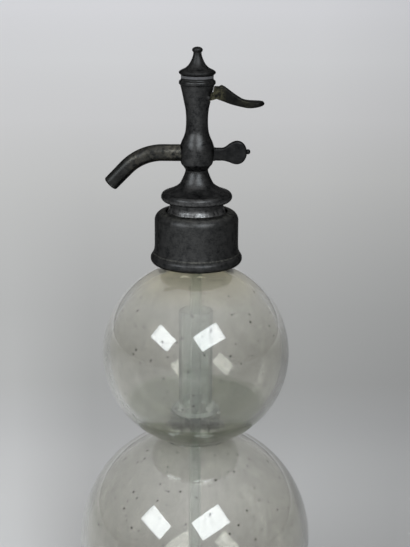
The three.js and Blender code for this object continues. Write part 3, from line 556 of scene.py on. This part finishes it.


# The base of the head: one pewter casting, turned to a flange, a coved stem, a round-edged disc and a slender
# bell, with a spigot on top for the barrel. Painted highlights, paler bands, brighten its stem's foot and the
# disc's lower edge.
base_low, base_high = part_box("head_base")
flange_bottom, spigot_top = base_low.z / mm, base_high.z / mm
flange_top = flange_bottom + 3.7
stem_radius, flange_radius, disc_radius = 16.8, base_high.x / mm, 22.3
disc_middle, disc_edge, bell_height = flange_bottom + 15.7, 3, 17
recess_radius, recess_top = 10, flange_bottom + 10
bell_neck, seat_pocket, pocket_floor, water_way = 5.1, 4, spigot_top - 2.5, 2.5
bell = [(0.86, 0.185), (0.66, 0.306), (0.491, 0.459), (0.395, 0.682), (0.327, 0.906), (0.317, 1)]
stem_cove = [(2.3, 0), (2.1, 1.2), (1.3, 2.8), (0.4, 4.6), (0, 6.5)]
base = turned("head_base_casting", [
    (recess_radius, flange_bottom), (flange_radius - 0.4, flange_bottom),
    (flange_radius, flange_bottom + 0.4), (flange_radius, flange_top - 0.4), (flange_radius - 0.4, flange_top),
    *flowing([(stem_radius + across, flange_top + up) for across, up in stem_cove], 5),
    (stem_radius, disc_middle - 3.4), (stem_radius + 0.4, disc_middle - 3),
    *arc(disc_radius - disc_edge, disc_middle, disc_edge, -90, 80, 20),
    *flowing([(across * disc_radius, disc_middle + up * bell_height) for across, up in bell], 8),
    (bell_neck, disc_middle + bell_height), (bell_neck, spigot_top - 0.3), (bell_neck - 0.3, spigot_top),
    (seat_pocket, spigot_top), (seat_pocket, pocket_floor), (water_way, pocket_floor),
    (water_way, recess_top), (recess_radius, recess_top), (recess_radius, flange_bottom),
])
base_pewter = pewter_material("head_base_pewter", "#1f2021", "#404040", 0.33)
# Painted highlights: paler grey bands round the stem's foot and the disc's lower edge.
wear_and_highlight(base_pewter, "#7c7c7c", "Z", [
    (flange_top, 0), (flange_top + 1.5, 0.75), (flange_top + 4.5, 0.75), (flange_top + 6.5, 0.1),
    (disc_middle - 3.2, 0.1), (disc_middle - 2, 0.6), (disc_middle - 0.6, 0.35), (disc_middle + 1.2, 0),
])
dress(base, "head_base", "head", base_pewter)


# The valve seat: a small turned brass ring, pressed into the top of the base, that the pad closes on. Water has
# turned the brass dull and brown.
brass = grained_material("worn_brass", 2, 6.0, 0.6, [(0.35, "#6b5431"), (0.65, "#a5854a")],
                         {"Metallic": 0.95, "Roughness": 0.38})
ring_for("valve_seat_ring", "valve_seat", water_way, 0.2, "head", brass, 48)


# The barrel: a pewter casting, turned to a round bulb, a waisted column and a flared, rolled mouth. It is
# bored right through for the valve, its packing and the lever, and slotted on one side for the lever.
def cut(piece, tool, how="DIFFERENCE"):
    """Cuts a tool's shape out of a piece, or keeps what they share, or joins them. The tool is taken away."""
    work_on(piece)
    change = piece.modifiers.new("cut", "BOOLEAN")
    change.operation, change.solver, change.object = how, "EXACT", tool
    bpy.ops.object.modifier_apply(modifier=change.name)
    bpy.data.objects.remove(tool, do_unlink=True)


def work_on(piece):
    deselect_all()
    piece.select_set(True)
    bpy.context.view_layer.objects.active = piece


def settle(piece):
    """Puts a piece's origin at the frame's, with no turn and no scale left on it."""
    work_on(piece)
    bpy.ops.object.transform_apply(location=True, rotation=True, scale=True)


def rod(axis, radius, middle, length, sides=32):
    """A round bar along an axis, given by its middle, in millimetres."""
    deselect_all()
    bpy.ops.mesh.primitive_cylinder_add(vertices=sides, radius=radius * mm, depth=length * mm,
                                        location=[value * mm for value in middle])
    piece = bpy.context.object
    piece.rotation_euler = {"x": (0, math.pi / 2, 0), "y": (math.pi / 2, 0, 0), "z": (0, 0, 0)}[axis]
    settle(piece)
    return piece


def crate(low, high):
    """A box between two corners, in millimetres."""
    deselect_all()
    bpy.ops.mesh.primitive_cube_add(size=mm, location=[(a + b) / 2 * mm for a, b in zip(low, high)])
    piece = bpy.context.object
    piece.scale = [b - a for a, b in zip(low, high)]
    settle(piece)
    return piece


barrel_low, barrel_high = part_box("head_barrel")
barrel_bottom, barrel_top = barrel_low.z / mm, barrel_high.z / mm
barrel_height = barrel_top - barrel_bottom
bulb_radius, bulb_middle = 10.9, barrel_bottom + 11
barrel_bore, barrel_floor, pin_reach = 7.0, barrel_top - 14.1, 6.5
screw_bore, chamber_radius, rod_bore, packing_bore, packing_floor = 5.4, 6, 2.6, 4.6, bulb_middle + 15
pin_height = barrel_floor + 3.1
lever_width, lever_boss, pin_radius = 7.0, 2.6, 1.2
spout_height, rest_height = bulb_middle - 0.8, bulb_middle - 1.5
barrel_shares = [
    (0.65, 0), (0.77, 0.034), (0.917, 0.078), (1, 0.196), (0.93, 0.281), (0.743, 0.367), (0.651, 0.436),
    (0.619, 0.544), (0.655, 0.657), (0.745, 0.744), (0.835, 0.831), (0.93, 0.908), (0.955, 0.928),
    (1.025, 0.943), (1.035, 0.959), (1.01, 0.975), (0.93, 0.987), (0.92, 1),
]
barrel_line = flowing([(across * bulb_radius, barrel_bottom + up * barrel_height)
                       for across, up in barrel_shares], 6)
barrel = turned("barrel_casting", [
    (screw_bore, barrel_bottom), *barrel_line, (barrel_bore + 0.4, barrel_top),
    (barrel_bore, barrel_top - 0.4), (barrel_bore, barrel_floor), (packing_bore, barrel_floor),
    (packing_bore, packing_floor), (rod_bore, packing_floor), (rod_bore, bulb_middle + 8),
    (chamber_radius, bulb_middle + 4.6), (chamber_radius, spigot_top), (screw_bore, spigot_top),
    (screw_bore, barrel_bottom),
])
slot_half, slot_top = lever_width / 2 + 0.3, pin_height + lever_boss + 0.6
cut(barrel, crate((pin_reach - lever_boss, -slot_half, barrel_floor), (bulb_radius + 2, slot_half, slot_top)))
cut(barrel, rod("y", pin_radius, (pin_reach, 0, pin_height), 3 * bulb_radius))
spigot_radius, peg_radius, socket_gap, peg_hole_depth = 4, 2.2, 0.3, 6.6
cut(barrel, rod("x", spigot_radius + socket_gap, (-bulb_radius, 0, spout_height), 2 * bulb_radius))
cut(barrel, rod("x", peg_radius + socket_gap, (bulb_radius, 0, rest_height), peg_hole_depth))
smooth(32)
dress(barrel, "head_barrel", "head", dark_pewter)


# The valve: a brass rod with a foot flange, a collar that the lever lifts and a guide end, and a rubber
# pad on its foot. The spring over the collar is bright steel gone grey, and the lever's pin is filed flush.
rod_low, rod_high = (corner.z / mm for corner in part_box("piston_rod"))
pad_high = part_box("valve_pad")[1].z / mm
rod_radius, rod_nose, rod_flange, rod_collar = 1.8, 1.2, 4.2, 4
foot_low, foot_high = pad_high + 0.3, pad_high + 2.3
collar_low, collar_high = pin_height + 1.5, pin_height + 3.1
valve_rod = turned("valve_rod", [
    (0, rod_low), (rod_nose, rod_low), (rod_nose, foot_low), (rod_flange - 0.2, foot_low),
    (rod_flange, foot_low + 0.2), (rod_flange, foot_high - 0.2), (rod_flange - 0.2, foot_high),
    (rod_radius, foot_high), (rod_radius, collar_low), (rod_collar - 0.2, collar_low),
    (rod_collar, collar_low + 0.2), (rod_collar, collar_high - 0.2), (rod_collar - 0.2, collar_high),
    (rod_radius, collar_high), (rod_radius, rod_high - 0.3), (rod_radius - 0.3, rod_high), (0, rod_high),
], 48)
dress(valve_rod, "piston_rod", "piston", brass)
ring_for("valve_pad_washer", "valve_pad", 1.5, 0.2, "piston", aged_rubber, 48)

steel = grained_material("grey_steel", 1.5, 6.0, 0.5, [(0.35, "#5a5650"), (0.65, "#8d8b86")],
                         {"Metallic": 0.95, "Roughness": 0.35})

pin_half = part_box("lever_pin")[1].y / mm
pin = rod("y", pin_radius - 0.01, (pin_reach, 0, pin_height), 2 * pin_half)
pin.name = "lever_pivot_pin"
smooth(40)
dress(pin, "lever_pin", "head", dark_pewter)

wire, spring_radius, spring_turns, steps_per_turn = 0.48, 3.2, 4.5, 36
spring_low, spring_high = (corner.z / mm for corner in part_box("valve_spring"))
deselect_all()
bpy.ops.mesh.primitive_circle_add(vertices=12, radius=wire * mm, rotation=(math.pi / 2, 0, 0),
                                  location=(spring_radius * mm, 0, (spring_low + wire) * mm))
spring = bpy.context.object
spring.name = "valve_return_spring"
settle(spring)
edit_all()
coil_steps = int(spring_turns * steps_per_turn)
coil_rise = (spring_high - spring_low - 2 * wire) * mm
for _ in range(coil_steps):
    bpy.ops.mesh.extrude_region_move(TRANSFORM_OT_translate={"value": (0, 0, coil_rise / coil_steps)})
    bpy.ops.transform.rotate(value=-2 * math.pi * spring_turns / coil_steps, orient_axis="Z",
                             center_override=(0, 0, 0))
bpy.ops.mesh.select_all(action="SELECT")
bpy.ops.mesh.fill_holes(sides=0)
close_shape()
smooth(40)
dress(spring, "valve_spring", "piston", steel)


# The packing: rings of greased leather round the rod, dark and finely pored, pressed down by a small brass
# gland nut.
leather = grained_material("greased_leather", 2, 5.0, 0.5, [(0.35, "#241c14"), (0.65, "#44372a")],
                           {"Roughness": 0.6})
tree = leather.node_tree
place = add_node(tree, "TexCoord").outputs["Object"]
pores = add_node(tree, "TexVoronoi", {"Scale": 1 / (0.6 * mm)}, Vector=place)
bump = add_node(tree, "Bump", {"Strength": 0.4, "Distance": 0.1 * mm}, Height=pores.outputs["Distance"])
tree.links.new(bump.outputs["Normal"], tree.nodes["Principled BSDF"].inputs["Normal"])
ring_for("rod_packing", "gland_packing", 2.1, 0.4, "head", leather, 48)
ring_for("rod_gland_nut", "gland_nut", 2.1, 0.3, "head", brass, 48)


# The lever: cast pewter, a fork inside the barrel and a blade outside that rises, curves down and ends in a
# thin thumb plate. Handling has blackened the blade, and an olive-grey crust is left at its root.
def slab(name, outline, thickness, upright=True):
    """A flat piece with an even thickness, middled on the lever's plane. The outline is a side view or a plan."""
    half = thickness / 2
    places = [(x, -half, z) if upright else (x, z, pin_height - half) for x, z in outline]
    piece = drawn_line(name, places)
    bpy.ops.mesh.select_all(action="SELECT")
    bpy.ops.mesh.edge_face_add()
    step = (0, thickness * mm, 0) if upright else (0, 0, thickness * mm)
    bpy.ops.mesh.extrude_region_move(TRANSFORM_OT_translate={"value": step})
    close_shape()
    return piece


def soften(piece, width, segments, beyond):
    """Rounds a piece's sharp edges that lie further along X than a limit, all in millimetres."""
    work_on(piece)
    edit_all()
    bpy.ops.mesh.remove_doubles(threshold=0.01 * mm)
    bpy.ops.mesh.select_all(action="DESELECT")
    shape = bmesh.from_edit_mesh(piece.data)
    bpy.ops.mesh.select_mode(type="EDGE")
    for edge in shape.edges:
        out = min(vertex.co.x for vertex in edge.verts)
        edge.select_set(out > beyond * mm and edge.is_manifold and edge.calc_face_angle() > math.radians(50))
    bmesh.update_edit_mesh(piece.data)
    bpy.ops.mesh.bevel(offset=width * mm, segments=segments, affect="EDGES", clamp_overlap=False)
    bpy.ops.mesh.select_mode(type="VERT")
    bpy.ops.object.mode_set(mode="OBJECT")
    smooth(40)


lever_length, lever_root, lever_tip_width, lever_arm, lever_nose = 34.8, 9.3, 9.6, 6.2, 1.2


def on_lever(points):
    return [(pin_reach + along * lever_length, pin_height + up * lever_root) for along, up in points]


root_up = [slot_top - 0.9, slot_top + 0.3, slot_top + 1.5, pin_height + 0.645 * lever_root]


def barrel_edge(up):
    """The radius of the barrel's outside at a height near its mouth."""
    (r0, z0), (r1, z1) = [(a, b) for a, b in zip(barrel_line, barrel_line[1:]) if a[1] <= up < b[1]][-1]
    return r0 + (r1 - r0) * (up - z0) / (z1 - z0)


lever_outline = [
    *arc(pin_reach - lever_arm, pin_height, lever_nose, 270, 90, 10),
    *arc(pin_reach, pin_height, lever_boss, 150, 60, 10),
    *[(barrel_edge(max(up, slot_top)) + 0.3, up) for up in root_up],
    *flowing(on_lever([(0.18, 0.64), (0.2, 0.65), (0.222, 0.7), (0.25, 0.715), (0.31, 0.6), (0.397, 0.36),
                       (0.52, 0.03), (0.643, -0.215), (0.8, -0.285), (0.96, -0.3)]), 6),
    *on_lever([(0.985, -0.33), (1, -0.43), (0.99, -0.51)]),
    *flowing(on_lever([(0.96, -0.57), (0.84, -0.665), (0.71, -0.7), (0.52, -0.57), (0.4, -0.455), (0.27, -0.28),
                       (0.15, -0.12)]), 6),
    *arc(pin_reach, pin_height, lever_boss, -60, -125, 8),
]
lever = slab("lever_casting", lever_outline, lever_tip_width)
blade_start, tip_middle = 17.4, pin_reach + lever_length - lever_tip_width / 2
cut(lever, slab("lever_plan", [
    (-pin_reach, -lever_width / 2), (blade_start, -lever_width / 2),
    (tip_middle, -lever_tip_width / 2), *arc(tip_middle, 0, lever_tip_width / 2, -80, 80, 16),
    (tip_middle, lever_tip_width / 2), (blade_start, lever_width / 2), (-pin_reach, lever_width / 2),
], 3 * lever_root, upright=False), "INTERSECT")
cut(lever, crate((-pin_reach, -2.1, pin_height - lever_root), (4, 2.1, pin_height + lever_root)))
cut(lever, rod("y", pin_radius + 0.3, (pin_reach, 0, pin_height), 2 * lever_tip_width))
soften(lever, 0.7, 3, bulb_radius)
crust_and_highlight_pewter = pewter_material("handled_pewter", "#0f0f10", "#21211f", 0.4, 0.15)
# The olive-grey crust at the root, x 10 to 15 mm, is real; the faint paler band at x 30 mm, over the blade's
# belly, is a painted highlight.
wear_and_highlight(crust_and_highlight_pewter, "#4f4d3c", "X", [(10, 0.9), (15, 0.8), (18, 0), (24, 0), (30, 0.25), (36, 0), (42, 0)])
dress(lever, "lever", "lever", crust_and_highlight_pewter)


# The cap: a turned pewter finial with a small knob, screwed into the barrel's mouth over a grey rubber washer.
# It is seldom touched, so its pewter has gone dull and dark all over.
washer_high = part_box("cap_washer")[1].z / mm
ring_for("cap_rubber_washer", "cap_washer", barrel_bore + 0.3, 0.15, "head", aged_rubber)
cap_bottom, cap_top, cap_radius = washer_high + 0.3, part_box("finial_cap")[1].z / mm, 11.16
cap_height, cap_hollow = cap_top - cap_bottom, 4.3
plug_bottom, hollow_top = cap_bottom - 5, cap_bottom - 1.8
cap_shares = [(0.92, 0), (1, 0.05), (1, 0.11), (0.86, 0.175), (0.64, 0.25), (0.45, 0.38), (0.335, 0.52),
              (0.255, 0.66), (0.225, 0.79), (0.285, 0.85), (0.28, 0.92), (0.17, 0.98), (0, 1)]
cap = turned("finial_cap_turning", [
    (cap_hollow, plug_bottom), (barrel_bore - 0.5, plug_bottom), (barrel_bore - 0.3, plug_bottom + 0.2),
    (barrel_bore - 0.3, cap_bottom),
    *flowing([(across * cap_radius, cap_bottom + up * cap_height) for across, up in cap_shares], 6),
    (0, hollow_top), (cap_hollow, hollow_top), (cap_hollow, plug_bottom),
])
cap_pewter = pewter_material("finial_pewter", "#18191a", "#343434", 0.4)
dress(cap, "finial_cap", "head", cap_pewter)


# The spout: a pewter pipe, drawn to a slight taper, bent down in one round bend and screwed into the bulb.
# The bend's paler band is a painted highlight, and the root has gone a dull brown.
spout_root, spout_end, spout_bore, spout_lip = 5.2, 4.9, 2.8, 1.2
spout_straight, spout_bend_radius, spout_bend, spout_tip = 21, 31.9, 46, 14.7
spout_bent = spout_bend_radius * math.radians(spout_bend)
spout_length = spout_straight + spout_bent + spout_tip
root_wear_and_bend_highlight = pewter_material("worn_and_highlit_pewter", "#191a1a", "#363635", 0.33, 0.1)
# Real wear at the root, x -18 to -10 mm; the paler band over the bend, x -44 to -21 mm, is a painted highlight.
wear_and_highlight(root_wear_and_bend_highlight, "#5b5850", "X", [(-70, 0), (-44, 0.05), (-38, 0.5), (-34, 0.4), (-31, 0.3), (-21, 0.3), (-18, 0.7),
                                (-10, 0.75)])


def spout_place(along):
    """How far out and down a point of the spout's middle line is, and the pipe's turn there, in radians."""
    turn = min(max((along - spout_straight) / spout_bend_radius, 0), math.radians(spout_bend))
    past = max(along - spout_straight - spout_bent, 0)
    out = min(along, spout_straight) + spout_bend_radius * math.sin(turn) + past * math.cos(turn)
    return out, spout_bend_radius * (1 - math.cos(turn)) + past * math.sin(turn), turn


def spout_radius(along):
    share = max(along - spout_straight, 0) / (spout_length - spout_straight)
    return spout_root + (spout_end - spout_root) * share


outer_stations = [spout_straight + (spout_length - spout_lip - spout_straight) * i / 40 for i in range(41)]
spigot_start, shoulder_start = 7, 8.5
spout_rings = [
    (spigot_start, spigot_radius), (shoulder_start, spigot_radius), (shoulder_start, spout_root),
    (bulb_radius + 0.4, spout_root),
    *[(along, spout_radius(along)) for along in outer_stations],
    *[(spout_length - spout_lip + up, spout_end - spout_lip + across)
      for across, up in arc(0, 0, spout_lip, 15, 90, 6)],
    (spout_length, spout_bore + 0.3), (spout_length - 0.3, spout_bore),
    *[(along, spout_bore) for along in reversed(outer_stations[:-1])], (spigot_start, spout_bore),
    (spigot_start, spigot_radius),
]
deselect_all()
bpy.ops.mesh.primitive_circle_add(vertices=64, radius=spigot_radius * mm, rotation=(0, math.pi / 2, 0),
                                  location=(-spigot_start * mm, 0, spout_height * mm))
spout = bpy.context.object
spout.name = "spout_pipe"
settle(spout)
edit_all()
for (along, radius), (along_after, radius_after) in zip(spout_rings, spout_rings[1:]):
    out, down, turn = spout_place(along)
    out_after, down_after, turn_after = spout_place(along_after)
    middle = (-out_after * mm, 0, (spout_height - down_after) * mm)
    step = ((out - out_after) * mm, 0, (down - down_after) * mm)
    bpy.ops.mesh.extrude_region_move(TRANSFORM_OT_translate={"value": step})
    bpy.ops.transform.rotate(value=turn_after - turn, orient_axis="Y", center_override=middle)
    bpy.ops.transform.resize(value=[radius_after / radius] * 3, center_override=middle)
close_shape(0.002)


def barrel_space():
    """The barrel's outside, a hair larger, which is cut out of a piece that is set against it."""
    line = [(r + 0.05, z) for r, z in barrel_line]
    return turned("barrel_space", [(0, barrel_bottom), *line, (0, barrel_top)], 96)


def join(piece, other):
    work_on(piece)
    other.select_set(True)
    bpy.ops.object.join()


cut(spout, barrel_space())
spigot_middle, spigot_length = -9, 4.4
spigot = rod("x", spigot_radius, (spigot_middle, 0, spout_height), spigot_length, 48)
cut(spigot, rod("x", spout_bore, (spigot_middle, 0, spout_height), 2 * spigot_length, 48))
join(spout, spigot)
smooth(32)
dress(spout, "spout", "head", root_wear_and_bend_highlight)


# The finger rest: a flat cast pewter blade with a round end and a small nub, soldered into the bulb opposite
# the spout. Fingers have worn it smooth and blackened it.
rest_reach, rest_half, rest_thickness, nub_radius = 31.0, 7.2, 5, 1.6
rest_shares = [
    (0.352, -0.54), (0.452, -0.535), (0.545, -0.55), (0.652, -0.675), (0.72, -0.79), (0.81, -0.85),
    (0.905, -0.71), (0.974, -0.347), (1, 0.153), (0.974, 0.653), (0.905, 1.02), (0.81, 1.15), (0.72, 1.07),
    (0.652, 0.9), (0.545, 0.58), (0.452, 0.535), (0.352, 0.54),
]
rest = slab("finger_rest_blade", [
    (bulb_radius - 2.2, rest_height - 0.54 * rest_half),
    *flowing([(along * rest_reach, rest_height + up * rest_half) for along, up in rest_shares], 4),
    (bulb_radius - 2.2, rest_height + 0.54 * rest_half),
], rest_thickness)
cut(rest, barrel_space())
soften(rest, 1.1, 4, bulb_radius + 0.5)
deselect_all()
bpy.ops.mesh.primitive_uv_sphere_add(segments=32, ring_count=16, radius=nub_radius * mm, location=(
    (rest_reach + 0.6) * mm, 0, (rest_height + nub_radius) * mm))
nub = bpy.context.object
settle(nub)
bpy.ops.object.shade_smooth()
cut(rest, nub, "UNION")
join(rest, rod("x", peg_radius, (bulb_radius - 0.6, 0, rest_height), 4.8))
rest_pewter = pewter_material("finger_rest_pewter", "#161718", "#2e2e2e", 0.38, 0.1)
dress(rest, "finger_rest", "head", rest_pewter)


# The socket: a turned cup of the same dull brass, screwed in under the base, that grips the dip tube in a
# rubber sleeve.
socket_low, socket_high = (corner.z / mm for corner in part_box("tube_socket"))
tube_radius, tube_wall = 4.05, 1.5
tube_hole, socket_floor = tube_radius + 0.3, socket_low + 2
socket_radius, socket_screw, socket_bore = 8.6, 9.7, 6.45
socket = turned("tube_socket_cup", [
    (tube_hole, socket_low), (socket_radius - 0.4, socket_low), (socket_radius, socket_low + 0.4),
    (socket_radius, flange_bottom - 0.3), (socket_screw, flange_bottom + 0.3), (socket_screw, socket_high),
    (socket_bore, socket_high), (socket_bore, socket_floor), (tube_hole, socket_floor), (tube_hole, socket_low),
], 64)
dress(socket, "tube_socket", "head", brass)
ring_for("tube_rubber_sleeve", "tube_sleeve", tube_hole, 0.3, "head", aged_rubber, 64)


# The dip tube: a drawn glass tube, fire-polished at its foot, that hangs from the head through the chimney
# almost to the bottom of the lower globe.
tube_low, tube_high = (corner.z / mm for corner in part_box("dip_tube"))
dip = turned("dip_tube_glass", [
    *arc(tube_radius - tube_wall / 2, tube_low + tube_wall / 2, tube_wall / 2, 180, 360, 12),
    (tube_radius, tube_high), (tube_radius - tube_wall, tube_high),
    (tube_radius - tube_wall, tube_low + tube_wall / 2),
], 64)
dress(dip, "dip_tube", "head", tube_glass)


# The collar nut: a turned pewter sleeve with a round shoulder and a bead at its hem, screwed down over the
# flange on to the ferrule. Its thread is left plain. Painted highlights, paler bands, lie in the groove over the
# bead and at the top.
nut_low, nut_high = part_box("collar_nut")
nut_bottom, nut_top, nut_reach = nut_low.z / mm, nut_high.z / mm, nut_high.x / mm
nut_bore, nut_wall, nut_shoulder, nut_hole = ferrule_radius + 0.3, 2.1, 6.0, stem_radius + 2.6
nut_side, nut_bead, nut_roof = nut_bore + nut_wall, 3.5, nut_top - 2.5
nut = turned("collar_nut_sleeve", [
    (nut_bore, nut_bottom + 0.3), (nut_bore + 0.3, nut_bottom),
    *arc(nut_reach - nut_bead, nut_bottom + nut_bead, nut_bead, -90, 58, 20),
    (nut_side + 0.95, nut_bottom + 6.9), (nut_side + 0.95, nut_bottom + 7.3), (nut_side + 0.6, nut_bottom + 7.6),
    *flowing([(nut_side + 0.5, nut_bottom + 8), (nut_side + 0.1, nut_bottom + 11), (nut_side, nut_bottom + 15),
              (nut_side, nut_top - nut_shoulder)], 6),
    *arc(nut_side - nut_shoulder, nut_top - nut_shoulder, nut_shoulder, 0, 90, 20)[1:],
    (nut_hole + 0.3, nut_top), (nut_hole, nut_top - 0.3), (nut_hole, nut_roof), (nut_bore, nut_roof),
    (nut_bore, nut_bottom + 0.3),
])
nut_pewter = pewter_material("collar_nut_pewter", "#232425", "#3e3e3e", 0.38)
# Painted highlights: paler bands in the groove over the bead and at the top edge.
wear_and_highlight(nut_pewter, "#6f6f69", "Z", [
    (nut_bottom + 6.4, 0), (nut_bottom + 7, 0.6), (nut_bottom + 7.4, 0.6), (nut_bottom + 7.9, 0),
    (nut_top - 2, 0.05), (nut_top - 0.5, 0.4), (nut_top, 0.5),
])
dress(nut, "collar_nut", "collar", nut_pewter)
